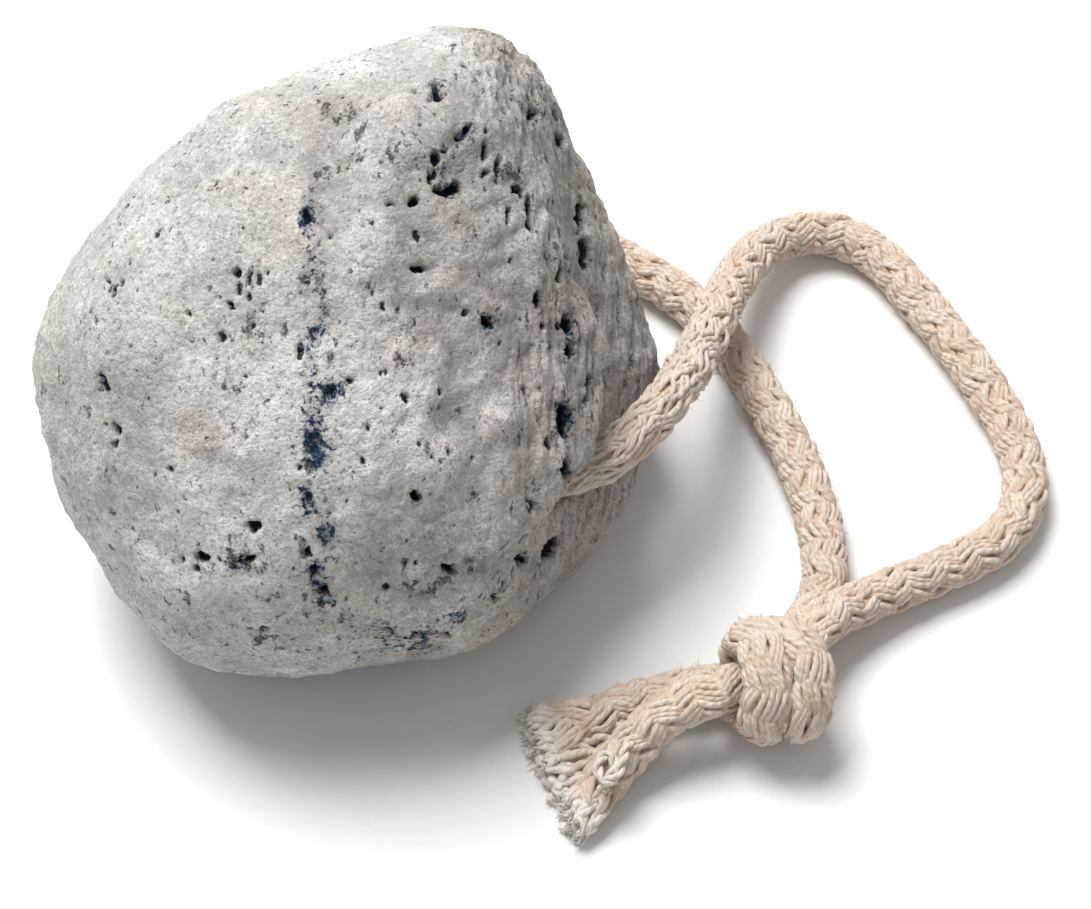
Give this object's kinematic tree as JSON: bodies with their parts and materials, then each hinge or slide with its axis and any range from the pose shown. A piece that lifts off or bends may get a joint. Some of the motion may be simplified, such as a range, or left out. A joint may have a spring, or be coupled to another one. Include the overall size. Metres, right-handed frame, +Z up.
{
  "type": "pumice stone",
  "caption": "Water-worn pumice pebble for scrubbing skin, drilled through, hung on a loop of braided cotton cord tied in an overhand knot.",
  "frame": {"origin": "middle of the stone's footprint box, on the surface that the stone and its cord rest on", "axes": "+Z up; +X across the stone towards the cord's loop; +Y away from the stone's broad face"},
  "size_m": [0.1346, 0.1099, 0.065],
  "materials": {
    "pumice": "matt, porous, water-worn",
    "cotton": "undyed braided cotton"
  },
  "bodies": {
    "root": {"stone": "pumice", "cord_near": "cotton", "cord_far": "cotton", "knot": "cotton", "tail_front": "cotton", "tail_back": "cotton"}
  },
  "joints": []
}
